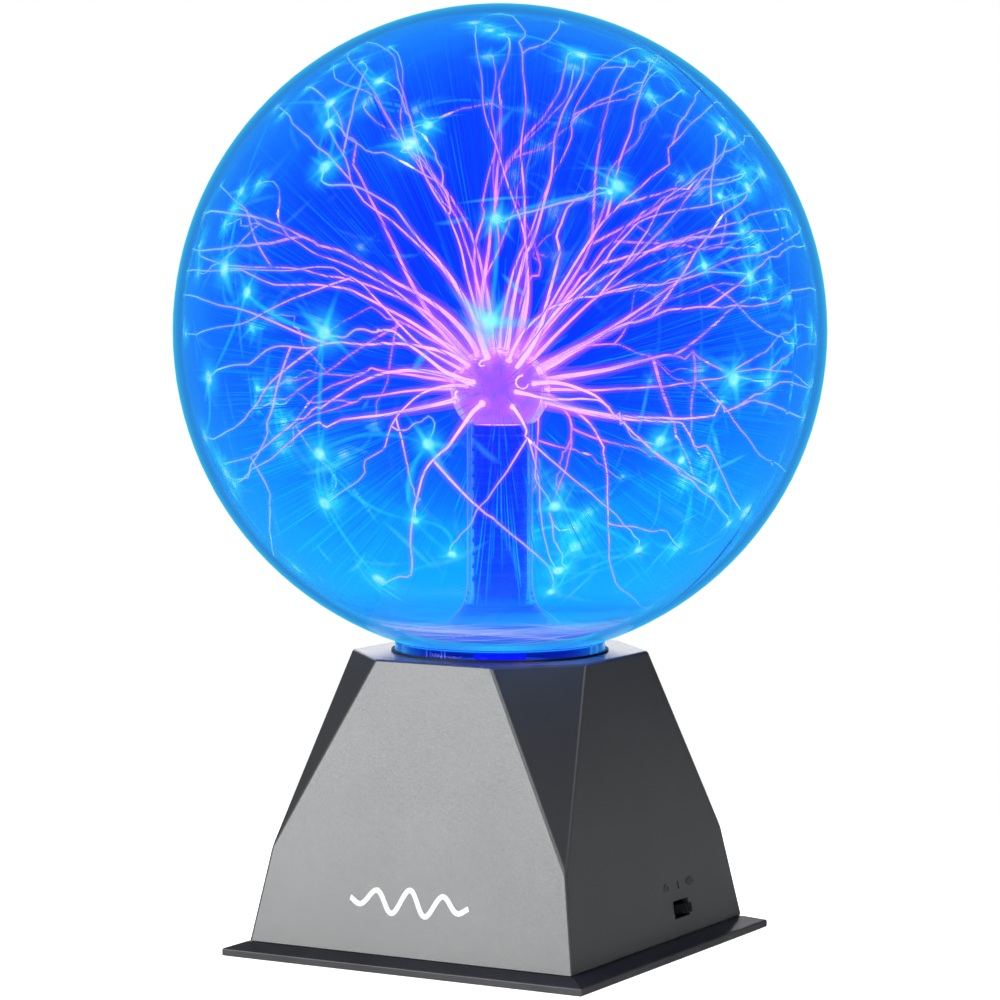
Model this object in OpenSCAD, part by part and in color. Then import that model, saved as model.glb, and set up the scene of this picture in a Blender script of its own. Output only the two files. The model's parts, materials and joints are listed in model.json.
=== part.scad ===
// Plasma ball: a gas-filled glass globe on a faceted plastic housing, with its high-voltage
// driver board inside. Millimetres, +Z up, and the origin on the table under the globe's
// middle. The front is -Y, the mode switch is on the +X wall and the power inlet on the +Y wall.

/* [Globe] */
// Outer diameter of the glass globe
globe_d = 200; // [196:1:206]
// Thickness of the globe's glass
glass_t = 2; // [1.6:0.1:2.4]
// Outer diameter of the globe's neck
neck_d = 64.8; // [64.4:0.1:65]
// Height of neck that shows between the housing and the globe
neck_show = 3.3; // [3:0.1:4]

/* [Stem] */
// Outer diameter of the glass stem
stem_d = 20.3; // [20:0.1:20.8]
// Thickness of the stem's glass
stem_t = 1.3; // [1.1:0.1:1.4]
// Largest diameter of the electrode bulb
bulb_d = 30; // [28:0.5:32]
// How far the bulb's widest place lies below the middle of the globe
bulb_drop = 17; // [15:0.5:19]
// Height of the bulb above its widest place
bulb_rise = 12.1; // [11:0.1:14]
// Distance between the ribs of the insulating sleeve
rib_pitch = 4; // [3.5:0.1:4.5]

/* [Housing] */
// Width of the housing across its foot
body_w = 112.2; // [111:0.1:113]
// Width of the housing across the flats of its top
top_w = 82; // [81:0.1:84]
// Length of each of the four long edges of the top
top_edge = 40; // [38:0.5:42]
// Height of the housing above the base plate
body_h = 86.8; // [85:0.1:90]
// Height of the corner facets' lower tips above the base plate
facet_h = 28; // [26:0.5:30]
// Thickness of the housing's walls
wall = 2.2; // [2:0.1:2.4]

/* [Base] */
// Width of the square flange
flange_w = 124; // [122:0.5:128]
// Height of the flange's upright edge
flange_edge = 2.3; // [2.2:0.1:2.8]
// Rise of the flange's slope from its edge to the housing
flange_rise = 1.8; // [1.5:0.1:2.2]
// How far the rubber feet stand out below the base plate
foot_show = 1.2; // [1.1:0.1:1.5]

/* [Mode switch] */
// Distance of the switch from the middle of its wall
switch_along = 16.5; // [14:0.5:18]
// Height of the switch above the table
switch_z = 13.8; // [13.5:0.1:14.5]
// Width of the switch window
window_w = 10; // [9.6:0.1:11]
// Height of the switch window
window_h = 5.4; // [5:0.1:5.6]
// How far the knob stands out of the wall
knob_show = 2.7; // [2:0.1:3.5]

/* [Power inlet] */
// Height of the power inlet above the table
jack_z = 17; // [16.5:0.1:18]
// Diameter of the inlet's centre pin
jack_pin_d = 2.1; // [2:0.1:2.5]

/* [Hidden] */
$fn = 96;
over = 1;       // how far a cutter runs past the surface that it cuts
snug = 0.05;    // clearance of a screw in its pilot hole
loose = 0.15;   // clearance of pieces that slide or drop into place
corners = [[1, 1], [-1, 1], [-1, -1], [1, -1]];

// Heights above the table
flange_z = foot_show;
plate_z = flange_z + flange_edge + flange_rise;
top_z = plate_z + body_h;
panel_z = top_z - 2.5;

// Globe and neck
globe_r = globe_d / 2;
neck_r = neck_d / 2;
neck_in = neck_r - glass_t;
globe_z = top_z + neck_show + sqrt(globe_r * globe_r - neck_r * neck_r);
neck_end = top_z - 16;

// Stem, bulb and what they hold
stem_r = stem_d / 2;
stem_in = stem_r - stem_t;
bulb_r = bulb_d / 2;
bulb_z = globe_z - bulb_drop;
flare_top = top_z + 20;
flare_seal = top_z + 4.2;
fill_at = [-19, -7];
fill_r = 3;
fill_in = 1.8;
foil_t = 0.6;
foil_inset = stem_t + 0.1;
sleeve_core = stem_in - 0.8;
sleeve_in = 6.4;
sleeve_low = top_z - 4;
sleeve_top = bulb_z - sqrt(bulb_r * bulb_r - stem_r * stem_r) - 0.5;
seat_t = 1.2;
seat_plug = 3;
bung_low = top_z + 1;
bung_high = flare_top - 6;
lead_r = 1.2;

// Housing: its walls lean by lean degrees and its corner facets by facet_lean
lean = atan((body_w - top_w) / 2 / body_h);
tip_half = body_w / 2 - tan(lean) * facet_h;
facet_top = (top_w + top_edge) / 2 / sqrt(2);
facet_lean = atan((tip_half * sqrt(2) - facet_top) / (body_h - facet_h));
hole_r = neck_r + 1.1;

// Collar that holds the neck, and the posts it is screwed to
collar_in = neck_r + 1;
collar_r = collar_in + 2;
collar_low = neck_end - 3;
collar_high = top_z - 6;
post_at = 38.5;
post_r = 3;
collar_screw_r = 1.4;
collar_screw = 12;

// Base plate, its screws and feet
floor_z = flange_z + 2.2;
tray_half = 51.3;
lip_half = 53.2;
lip_top = plate_z + 2;
boss_at = 43.5;
boss_r = 4;
boss_seat = plate_z + 0.7;
boss_top = plate_z + 23;
foot_r = 7;
foot_sunk = 0.8;
head_sunk = foot_sunk + 1.6;
base_screw_r = 1.5;
base_screw = 16;

// Board, and the middle of each piece on it
board = [70, 62, 1.6];
board_y = -2;
board_z = floor_z + 6;
board_top = board_z + board[2];
board_hole = [31, 27];
standoff_r = 3.2;
board_screw_r = 1.2;
transformer_at = [-12, 4];
heatsink_at = [14, -26];
cans_at = [[14, 20], [25, 14.5], [12, 8]];
cans_size = [[5, 15], [4, 12], [3.2, 10]];
films_at = [[-18, 22], [-24, -14]];
chips_at = [[21, -4], [-6, -14]];
resistors_at = [for (x = [-24 : 5 : -4]) [x, -25]];
microphone_at = [30, -14];
switch_plug = [30.5, 6];
jack_plug = [-1, 25];
plug_top = board_top + 7;
plug_pitch = 2.5;

// Transformer
core = [34, 12, 30];
core_low = board_top + 2;
yoke = 5;
leg_w = 10;
window = 7;
bobbin_w = core[0] - 2 * yoke - 0.6;
bobbin_low = core_low + yoke + 0.1;
bobbin_h = core[2] - 2 * yoke - 0.2;

// Mode switch, measured along its wall's normal from the wall's outer face
ear_z = -wall - 2;
ear_t = 0.6;
ear_at = 11.2;
frame_w = 18;
frame_h = 7.4;
frame_low = ear_z - 6;
base_top = frame_low + 1.6;
rivet_h = 0.4;
carriage_top = ear_z - ear_t - loose;
carriage_low = carriage_top - 2.4;
knob_w = 4;
knob_h = 2.8;
knob_travel = 2;
terminal_at = [-4.5, -1.5, 1.5, 4.5];
terminal_end = frame_low - 4;
terminal_r = 0.45;

// Power inlet, measured along its wall's normal from the wall's outer face
jack_flange = 1.6;
jack_r = 4;
jack_bore = 3.15;
jack_floor = -8.4;
jack_back = -15;
jack_pin_r = jack_pin_d / 2;
jack_root_r = jack_pin_r - 0.3;
jack_end = jack_back - 4;
tab_at = 1.8;

// Half the housing's width at height z, with its walls moved in by inset
function half_at(z, inset = 0) =
    body_w / 2 - tan(lean) * (z - plate_z) - inset / cos(lean);
// Distance of a corner facet from the axis at height z, moved in by inset
function facet_at(z, inset = 0) =
    facet_top + tan(facet_lean) * (top_z - z) - inset / cos(facet_lean);
// A place on the normal of the switch's wall or of the inlet's wall
function switch_place(along, out) =
    [half_at(switch_z) + out * cos(lean), switch_along + along, switch_z + out * sin(lean)];
function jack_place(along, out) =
    [along, half_at(jack_z) + out * cos(lean), jack_z + out * sin(lean)];

// ---- Outlines ----

function reversed(p) = [for (k = [len(p) - 1 : -1 : 0]) p[k]];
function arc(middle, radii, from, to, steps = 14) = [
    for (k = [0 : steps])
        let (a = from + (to - from) * k / steps)
            [middle[0] + radii[0] * cos(a), middle[1] + radii[1] * sin(a)]
];
// The electrode bulb's side, from its mouth up to its crown
function bulb_side(inset, mouth) =
    let (r = bulb_r - inset, rise = bulb_rise - inset)
        concat(arc([0, bulb_z], [r, r], -acos(mouth / r), 0),
               arc([0, bulb_z], [r, rise], 6, 90));
// The flared foot's side, from the seal at the neck in to the stem
function flare_side(stem, drop) =
    arc([neck_in, flare_top - drop], [neck_in - stem, flare_top - flare_seal], 270, 180);

// A rectangle with round corners, around the origin
module rounded(size, r) {
    square([size[0] - 2 * r, size[1]], center = true);
    square([size[0], size[1] - 2 * r], center = true);
    for (c = corners)
        translate([c[0] * (size[0] / 2 - r), c[1] * (size[1] / 2 - r)]) circle(r = r);
}

// ---- Solids that repeat ----

// A tube around the axis, between two heights
module pipe(outer, inner, low, high) {
    difference() {
        translate([0, 0, low]) cylinder(r = outer, h = high - low);
        translate([0, 0, low - over]) cylinder(r = inner, h = high - low + 2 * over);
    }
}

// A block around the axis that stands on height low
module slab(size, low) {
    translate([0, 0, low + size[2] / 2]) cube(size, center = true);
}

// A round post, or the cutter of a round hole, between two heights
module post(r, low, high) {
    translate([0, 0, low]) cylinder(r = r, h = high - low);
}

// A screw with its head below z = 0 and its shank above
module screw(head_r, head_h, shank_r, length) {
    difference() {
        union() {
            post(head_r, -head_h, 0);
            post(shank_r, 0, length - shank_r);
            translate([0, 0, length - shank_r])
                cylinder(r1 = shank_r, r2 = shank_r / 4, h = shank_r);
        }
        for (turn = [0, 90])
            rotate(turn) slab([head_r * 1.2, head_r * 0.28, head_h], -head_h * 1.5);
    }
}

// A long bar along Y whose section narrows evenly from one height to another
module bar(low_half, low, high_half, high) {
    rotate([90, 0, 0])
        linear_extrude(300, center = true)
            polygon([[-low_half, low], [low_half, low], [high_half, high], [-high_half, high]]);
}

// The housing's form between two heights, with its walls moved in by inset
module faceted(low, high, inset = 0) {
    intersection() {
        bar(half_at(low, inset), low, half_at(high, inset), high);
        rotate(90) bar(half_at(low, inset), low, half_at(high, inset), high);
        rotate(45) bar(facet_at(low, inset), low, facet_at(high, inset), high);
        rotate(135) bar(facet_at(low, inset), low, facet_at(high, inset), high);
    }
}

// Frames on the leaning walls: X along the wall, Y up its slope and Z outwards
module on_switch_wall(z = switch_z, along = switch_along) {
    translate([half_at(z), along, z]) rotate([90 - lean, 0, 90]) children();
}
module on_jack_wall() {
    translate([0, half_at(jack_z), jack_z]) rotate([90 - lean, 0, 180]) children();
}

// ---- Round wire, swept along a smooth curve through a few points ----

function blend(a, b, c, d, t) =
    0.5 * (2 * b + (c - a) * t + (2 * a - 5 * b + 4 * c - d) * t * t
    + (3 * b - a - 3 * c + d) * t * t * t);
// A smooth curve through a few points, whose first and last stretches stay straight
function smooth(p, steps) = concat(
    [p[0]],
    [for (i = [1 : len(p) - 3], k = [0 : steps - 1])
        blend(p[i - 1], p[i], p[i + 1], p[i + 2], k / steps)],
    [p[len(p) - 2], p[len(p) - 1]]
);
function unit(v) = v / norm(v);
function heading(p, i) = unit(p[min(i + 1, len(p) - 1)] - p[max(i - 1, 0)]);
function square_to(v, t) = unit(v - (v * t) * t);
function sides(p, start) = [
    for (i = 0, v = square_to(start, heading(p, 0));
         i < len(p);
         i = i + 1, v = i < len(p) ? square_to(v, heading(p, i)) : v)
        v
];
module wire(p, r, n = 8, start = [1, 0.2, 0.1]) {
    side = sides(p, start);
    points = [
        for (i = [0 : len(p) - 1], k = [0 : n - 1])
            p[i] + r * (cos(360 * k / n) * side[i]
                + sin(360 * k / n) * cross(heading(p, i), side[i]))
    ];
    walls = [
        for (i = [0 : len(p) - 2], k = [0 : n - 1])
            let (next = (k + 1) % n)
                [i * n + k, (i + 1) * n + k, (i + 1) * n + next, i * n + next]
    ];
    first = [for (k = [0 : n - 1]) k];
    last = [for (k = [n - 1 : -1 : 0]) (len(p) - 1) * n + k];
    polyhedron(points, concat(walls, [first, last]), convexity = 8);
}

// ---- Glass ----

module globe() {
    neck_top = top_z + 10;
    color("lightskyblue", 0.35)
    difference() {
        union() {
            translate([0, 0, globe_z]) sphere(r = globe_r);
            post(neck_r, neck_end, neck_top);
        }
        translate([0, 0, globe_z]) sphere(r = globe_r - glass_t);
        post(neck_in, neck_end - over, neck_top);
    }
}

module stem_tube() {
    color("aliceblue", 0.4)
    difference() {
        rotate_extrude()
            polygon(concat(
                flare_side(stem_r, 0),
                bulb_side(0, stem_r),
                reversed(bulb_side(stem_t, stem_in)),
                reversed(flare_side(stem_in, stem_t))
            ));
        translate(fill_at) post(fill_in, top_z, flare_top);
    }
}

// Everything above the underside of the flare, out to the neck
module above_flare() {
    rotate_extrude()
        polygon(concat(
            flare_side(stem_in, stem_t),
            [[stem_in, flare_top + over], [neck_in, flare_top + over]]
        ));
}

module fill_tip() {
    tip_z = top_z - 9;
    color("aliceblue", 0.5)
    difference() {
        translate(fill_at) {
            post(fill_r, tip_z, flare_top - over);
            translate([0, 0, tip_z]) sphere(r = fill_r);
        }
        translate(fill_at) {
            post(fill_in, tip_z, flare_top);
            translate([0, 0, tip_z]) sphere(r = fill_in);
        }
        above_flare();
    }
}

// ---- High-voltage path inside the stem ----

module electrode() {
    color("orchid")
    rotate_extrude()
        polygon(concat(
            bulb_side(foil_inset, stem_in),
            reversed(bulb_side(foil_inset + foil_t, stem_in))
        ));
}

module insulator_sleeve() {
    rib = 0.6;
    rib_half = 0.8;
    first_rib = flare_top + 2;
    color("mediumblue")
    rotate_extrude()
        polygon(concat(
            [[sleeve_in, sleeve_low], [sleeve_core, sleeve_low]],
            [for (z = [first_rib : rib_pitch : sleeve_top - rib_half])
                each [[sleeve_core, z - rib_half], [sleeve_core + rib, z - rib_half / 2],
                      [sleeve_core + rib, z + rib_half / 2], [sleeve_core, z + rib_half]]],
            [[sleeve_core, sleeve_top], [sleeve_in, sleeve_top]]
        ));
}

module stem_bung() {
    color("gainsboro")
    difference() {
        pipe(14.5, sleeve_core, bung_low, bung_high);
        above_flare();
    }
}

module spring_seat() {
    color("goldenrod") {
        post(sleeve_core - 0.8, sleeve_top, sleeve_top + seat_t);
        post(sleeve_in - loose, sleeve_top - seat_plug, sleeve_top);
        post(2.4, sleeve_top + seat_t, sleeve_top + seat_t + 2);
    }
}

module contact_spring() {
    coil_r = 3.3;
    wire_r = 0.35;
    turns = 6;
    low = sleeve_top + seat_t + wire_r;
    high = bulb_z + bulb_rise - foil_inset - foil_t - 3 * wire_r;
    color("silver")
    wire([
        for (k = [0 : 12 * turns])
            [coil_r * cos(30 * k), coil_r * sin(30 * k), low + (high - low) * k / (12 * turns)]
    ], wire_r, n = 6);
}

module high_voltage_lead() {
    wound = transformer_at + [0, 11];
    color("firebrick")
    wire(smooth([
        [wound[0], wound[1], 33],
        [wound[0], wound[1] + 2, 33],
        [wound[0] + 1, wound[1] + 5, 38],
        [wound[0] + 4, wound[1] + 2, 52],
        [-3, 6, 70],
        [0, 0, 84],
        [0, 0, 100],
        [0, 0, 130],
        [0, 0, sleeve_top - seat_plug]
    ], 5), lead_r);
}

// ---- Joint between the globe and the housing ----

module neck_gasket() {
    color("#141416") pipe(hole_r, neck_r, panel_z, top_z + 0.5);
}

module neck_collar() {
    lug = [9.5, 9, neck_end - collar_low];
    color("dimgray")
    difference() {
        union() {
            pipe(collar_r, collar_in, collar_low, collar_high);
            pipe(collar_in, neck_in, collar_low, neck_end);
            for (turn = [45 : 90 : 315])
                rotate(turn)
                    translate([(collar_in + collar_r) / 2 + lug[0] / 2 - 1, 0])
                        slab(lug, collar_low);
        }
        for (turn = [45 : 90 : 315])
            rotate(turn) translate([post_at, 0])
                post(collar_screw_r + loose, collar_low - over, neck_end + over);
        post(collar_in - snug, neck_end, collar_high);
    }
}

module neck_adhesive() {
    color("ivory") pipe(collar_in, neck_r, neck_end, collar_high);
}

module collar_screws() {
    color("silver")
    for (turn = [45 : 90 : 315])
        rotate(turn) translate([post_at, 0, collar_low])
            screw(2.6, 1.4, collar_screw_r, collar_screw);
}

// ---- Housing ----

// Raised marks over the switch: a ring for off, a bar for on and level bars for sound
module mode_marks() {
    mark_h = 0.4;
    mark_w = 0.5;
    spread = 8;
    translate([-spread, 0]) pipe(1.25, 1.25 - mark_w, -over, mark_h);
    slab([mark_w, 2.5, over + mark_h], -over);
    for (k = [-2 : 2])
        translate([spread + k, 0])
            slab([mark_w, 2.5 - 0.6 * abs(k), over + mark_h], -over);
}

module base_bosses() {
    for (c = corners)
        translate([c[0] * boss_at, c[1] * boss_at]) post(boss_r, boss_seat, boss_top);
    intersection() {
        for (c = corners) {
            translate([c[0] * (boss_at + 5), c[1] * boss_at])
                slab([10, 1.6, boss_top - boss_seat], boss_seat);
            translate([c[0] * boss_at, c[1] * (boss_at + 5)])
                slab([1.6, 10, boss_top - boss_seat], boss_seat);
        }
        faceted(lip_top + 0.5, boss_top, wall / 2);
    }
}

module housing() {
    color("#3a3b3e")
    difference() {
        union() {
            difference() {
                faceted(plate_z, top_z);
                faceted(plate_z - over, panel_z, wall);
            }
            base_bosses();
            for (turn = [45 : 90 : 315])
                rotate(turn) translate([post_at, 0]) post(post_r, neck_end, top_z - over);
            on_switch_wall()
                for (side = [-1, 1])
                    translate([side * ear_at, 0]) post(2.3, ear_z, -wall / 2);
            on_switch_wall(switch_z + 7.2) mode_marks();
        }
        post(hole_r, panel_z - over, top_z + over);
        for (c = corners)
            translate([c[0] * boss_at, c[1] * boss_at])
                post(base_screw_r + snug, boss_seat - over, boss_top - 3);
        for (turn = [45 : 90 : 315])
            rotate(turn) translate([post_at, 0])
                post(collar_screw_r + snug, neck_end - over, panel_z - 0.5);
        on_switch_wall() {
            slab([window_w, window_h, wall + 2 * over], -wall - over);
            for (side = [-1, 1])
                translate([side * ear_at, 0]) post(0.95 + snug, ear_z - over, -1);
        }
        on_jack_wall() post(jack_r + 0.1, -wall - over, over);
    }
}

// ---- Base ----

module base_plate() {
    vent = [2.5, 24];
    color("#26272a")
    difference() {
        union() {
            difference() {
                union() {
                    slab([flange_w, flange_w, flange_edge], flange_z);
                    intersection() {
                        bar(flange_w / 2, plate_z - flange_rise, body_w / 2, plate_z);
                        rotate(90) bar(flange_w / 2, plate_z - flange_rise, body_w / 2, plate_z);
                    }
                    slab([2 * lip_half, 2 * lip_half, lip_top - floor_z], floor_z);
                }
                slab([2 * tray_half, 2 * tray_half, lip_top], floor_z);
            }
            for (c = corners) {
                translate([c[0] * boss_at, c[1] * boss_at]) post(5.4, flange_z, boss_seat);
                translate([c[0] * board_hole[0], board_y + c[1] * board_hole[1]])
                    post(standoff_r, flange_z, board_z);
            }
        }
        for (c = corners) {
            translate([c[0] * boss_at, c[1] * boss_at]) {
                post(foot_r + loose, flange_z - over, flange_z + foot_sunk);
                post(3.1, flange_z - over, flange_z + head_sunk);
                post(base_screw_r + loose, flange_z, boss_seat + over);
            }
            translate([c[0] * board_hole[0], board_y + c[1] * board_hole[1]])
                post(board_screw_r + snug, floor_z + 0.6, board_z + over);
        }
        for (side = [-1, 1], k = [-2 : 2])
            translate([5 * k, side * 33.5]) slab([vent[0], vent[1] / 2, lip_top], flange_z - over);
    }
}

module base_screws() {
    color("silver")
    for (c = corners)
        translate([c[0] * boss_at, c[1] * boss_at, flange_z + head_sunk])
            screw(2.9, 1.5, base_screw_r, base_screw);
}

module rubber_feet() {
    color("#101012")
    for (c = corners)
        translate([c[0] * boss_at, c[1] * boss_at]) {
            cylinder(r1 = foot_r - 0.4, r2 = foot_r, h = 0.4);
            post(foot_r, 0.4, flange_z + foot_sunk);
        }
}

module rating_label() {
    color("lightgray")
    translate([0, 0, flange_z - 0.2]) linear_extrude(0.2) rounded([44, 24], 2);
}

// ---- Driver board ----

module circuit_board() {
    color("darkgreen")
    translate([0, board_y])
        difference() {
            slab(board, board_z);
            for (c = corners)
                translate([c[0] * board_hole[0], c[1] * board_hole[1]])
                    post(board_screw_r + loose, board_z - over, board_top + over);
        }
}

module board_screws() {
    color("silver")
    for (c = corners)
        translate([c[0] * board_hole[0], board_y + c[1] * board_hole[1], board_top])
            mirror([0, 0, 1]) screw(2.4, 1.2, board_screw_r, 6);
}

module transformer_core() {
    color("#333333")
    translate(transformer_at)
        difference() {
            slab(core, core_low);
            for (side = [-1, 1])
                translate([side * (leg_w + window) / 2, 0])
                    slab([window, core[1] + 2 * over, core[2] - 2 * yoke], core_low + yoke);
        }
}

module bobbin_tube(extra) {
    slab([leg_w + extra, core[1] + extra, bobbin_h], bobbin_low);
}

module transformer_bobbin() {
    color("#202830")
    translate(transformer_at)
        difference() {
            union() {
                slab([core[0] - 6, 23, 2], board_top);
                for (side = [-1, 1])
                    translate([0, side * 8.8]) slab([18, 5, bobbin_low - board_top + 1], board_top);
                bobbin_tube(2.4);
                slab([bobbin_w, 23, 1], bobbin_low);
                slab([bobbin_w, 23, 1], bobbin_low + bobbin_h - 1);
            }
            slab([leg_w + 0.2, core[1] + 0.2, bobbin_h + 2 * over], bobbin_low - over);
            slab([core[0], core[1] + 0.2, yoke], core_low);
        }
}

module transformer_winding() {
    color("#b8862c")
    translate(transformer_at)
        difference() {
            translate([0, 0, bobbin_low + 1])
                linear_extrude(bobbin_h - 2) rounded([bobbin_w - 1.4, 22], 4);
            bobbin_tube(2.4);
        }
}

module heatsink() {
    fins = 6;
    fin_t = 1.2;
    width = 24;
    color("silver")
    translate([heatsink_at[0], heatsink_at[1], board_top])
        difference() {
            linear_extrude(26) {
                translate([-width / 2, 0]) square([width, 2.5]);
                for (k = [0 : fins - 1])
                    translate([-width / 2 + k * (width - fin_t) / (fins - 1), -6])
                        square([fin_t, 7]);
            }
            translate([0, 0, 17]) rotate([90, 0, 0]) post(1.5 + snug, -2.5 - over, over);
        }
}

module power_transistor() {
    tab_t = 1.3;
    color("#1c1c1e")
    translate([heatsink_at[0], heatsink_at[1] + 2.5, board_top])
        difference() {
            union() {
                translate([0, tab_t / 2]) slab([10, tab_t, 16], 4);
                translate([0, 2.2]) slab([10, 4.4, 9], 4);
                for (k = [-1 : 1])
                    translate([2.5 * k, 2.4]) slab([0.8, 0.6, 4.5], 0);
            }
            translate([0, 0, 17]) rotate([90, 0, 0]) post(1.5 + snug, -tab_t - over, over);
        }
}

module transistor_screw() {
    color("gray")
    translate([heatsink_at[0], heatsink_at[1] + 3.8, board_top + 17])
        rotate([90, 0, 0]) screw(2.6, 1.6, 1.5, 5.5);
}

module filter_capacitors() {
    color("midnightblue")
    for (k = [0 : len(cans_at) - 1])
        translate([cans_at[k][0], cans_at[k][1], board_top])
            rotate_extrude()
                polygon([
                    [0, 0], [cans_size[k][0], 0], [cans_size[k][0], 1.6],
                    [cans_size[k][0] - 0.5, 2], [cans_size[k][0], 2.4],
                    [cans_size[k][0], cans_size[k][1] - 0.4],
                    [cans_size[k][0] - 0.4, cans_size[k][1]], [0, cans_size[k][1]]
                ]);
}

module film_capacitors() {
    color("goldenrod")
    for (at = films_at)
        translate([at[0], at[1], board_top]) linear_extrude(11) rounded([13, 6], 0.8);
}

module control_chips() {
    color("#222224")
    for (at = chips_at)
        translate(at) {
            slab([10, 6.4, 3.4], board_top + 0.6);
            for (k = [-1.5 : 1.5], side = [-1, 1])
                translate([2.54 * k, side * 3.5]) slab([0.8, 0.8, 2.4], board_top);
        }
}

module resistors() {
    color("tan")
    for (at = resistors_at)
        translate([at[0], at[1], board_top + 1.6]) {
            rotate([90, 0, 0]) post(1.1, -3.2, 3.2);
            rotate([90, 0, 0]) post(0.3, -5, 5);
            for (side = [-1, 1])
                translate([0, side * 4.7]) post(0.3, -1.6, 0);
        }
}

module microphone() {
    color("lightgray")
    translate(microphone_at)
        difference() {
            post(3, board_top, board_top + 4.5);
            post(1, board_top + 4, board_top + 5);
        }
}

module wire_plugs() {
    color("whitesmoke") {
        translate(switch_plug) slab([6, 10, plug_top - board_top], board_top);
        translate(jack_plug) slab([7.6, 6, plug_top - board_top], board_top);
    }
}

// ---- Mode switch ----

module switch_knob() {
    ridge = 0.4;
    color("#0c0c0e")
    on_switch_wall() {
        slab([knob_w, knob_h, knob_show - ridge - carriage_top], carriage_top);
        for (k = [-1 : 1])
            translate([1.5 * k, 0]) slab([0.7, knob_h, 2 * ridge], knob_show - 2 * ridge);
        slab([8, 5.6, carriage_top - carriage_low], carriage_low);
    }
}

module switch_contact() {
    color("gold")
    on_switch_wall() {
        slab([5, 2.6, 0.5], carriage_low - 0.5);
        for (side = [-1, 1])
            translate([side * 1.5, 0]) slab([0.8, 2, 0.2], carriage_low - 0.7);
    }
}

module switch_frame() {
    color("silver")
    on_switch_wall()
        difference() {
            union() {
                slab([2 * ear_at + 5.6, 6, ear_t], ear_z - ear_t);
                slab([frame_w, frame_h, ear_z - frame_low], frame_low);
                for (side = [-1, 1])
                    translate([side * 7, 0]) slab([1.6, frame_h, ear_t], frame_low - ear_t);
            }
            slab([frame_w - 2 * ear_t, frame_h - 2 * ear_t, ear_z - ear_t - frame_low],
                 frame_low);
            slab([knob_w + 2 * knob_travel + 0.6, knob_h + 0.4, 2 * ear_t], ear_z - 1.5 * ear_t);
            for (side = [-1, 1])
                translate([side * ear_at, 0]) post(1.1, ear_z - ear_t - over, ear_z + over);
        }
}

module switch_base() {
    color("saddlebrown")
    on_switch_wall()
        difference() {
            slab([frame_w - 2 * ear_t - 0.2, frame_h - 2 * ear_t - 0.2, base_top - frame_low],
                 frame_low);
            for (x = terminal_at)
                translate([x, 0]) post(terminal_r, frame_low - over, base_top + over);
        }
}

module switch_terminals() {
    color("gold")
    on_switch_wall()
        for (x = terminal_at)
            translate([x, 0]) {
                post(terminal_r, terminal_end, base_top);
                post(0.9, base_top, base_top + rivet_h);
            }
}

module switch_screws() {
    color("silver")
    on_switch_wall()
        for (side = [-1, 1])
            translate([side * ear_at, 0, ear_z - ear_t]) screw(1.9, 1, 0.95, 3.4);
}

module switch_wires() {
    color("orangered")
    for (k = [1 : 3]) {
        at_plug = switch_plug[1] + plug_pitch * (k - 2);
        at_switch = switch_place(terminal_at[k], terminal_end);
        wire(smooth([
            at_switch,
            switch_place(terminal_at[k], terminal_end - 1.5),
            [35, at_plug + 6, 18],
            [32, at_plug + 1.5, 23],
            [switch_plug[0], at_plug, plug_top + 1.5],
            [switch_plug[0], at_plug, plug_top]
        ], 5), 0.6, n = 6);
    }
}

// ---- Power inlet ----

module jack_body() {
    color("#121214")
    on_jack_wall()
        difference() {
            union() {
                post(5.6, 0, jack_flange);
                post(jack_r, jack_back, 0);
            }
            post(jack_bore, jack_floor, jack_flange + over);
            post(jack_root_r, jack_floor - 4, jack_floor);
        }
}

module jack_pin() {
    tip_h = 0.4;
    color("silver")
    on_jack_wall() {
        post(jack_root_r, jack_floor - 4, jack_floor);
        post(jack_pin_r, jack_floor, -tip_h);
        translate([0, 0, -tip_h])
            cylinder(r1 = jack_pin_r, r2 = jack_pin_r - tip_h, h = tip_h);
    }
}

module jack_contact() {
    color("silver")
    on_jack_wall() pipe(jack_bore, jack_bore - 0.3, jack_floor, jack_floor + 3.4);
}

module jack_nut() {
    color("silver")
    on_jack_wall()
        difference() {
            translate([0, 0, -wall - 2.2]) cylinder(r = 6.3, h = 2.2, $fn = 6);
            post(jack_r, -wall - 2.2 - over, over);
        }
}

module jack_terminals() {
    color("silver")
    on_jack_wall()
        for (side = [-1, 1])
            translate([side * tab_at, 0]) slab([2, 0.5, jack_back - jack_end], jack_end);
}

module jack_wires() {
    color("crimson")
    for (side = [-1, 1]) {
        at_plug = jack_plug[0] + side * plug_pitch / 2;
        at_jack = jack_place(side * tab_at, jack_end);
        wire(smooth([
            at_jack,
            jack_place(side * tab_at, jack_end - 1.5),
            [at_plug, 31, 19],
            [at_plug, 27, 22],
            [at_plug, jack_plug[1], plug_top + 1.5],
            [at_plug, jack_plug[1], plug_top]
        ], 5), 0.7, n = 6);
    }
}

globe();
stem_tube();
fill_tip();
electrode();
insulator_sleeve();
stem_bung();
contact_spring();
spring_seat();
high_voltage_lead();
neck_gasket();
neck_collar();
neck_adhesive();
collar_screws();
housing();
base_plate();
base_screws();
rubber_feet();
rating_label();
circuit_board();
board_screws();
transformer_core();
transformer_bobbin();
transformer_winding();
heatsink();
power_transistor();
transistor_screw();
filter_capacitors();
film_capacitors();
control_chips();
resistors();
microphone();
wire_plugs();
switch_knob();
switch_contact();
switch_frame();
switch_base();
switch_terminals();
switch_screws();
switch_wires();
jack_body();
jack_pin();
jack_contact();
jack_nut();
jack_terminals();
jack_wires();
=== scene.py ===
"""Looks of the plasma ball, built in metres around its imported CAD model."""
import json
import math

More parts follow.
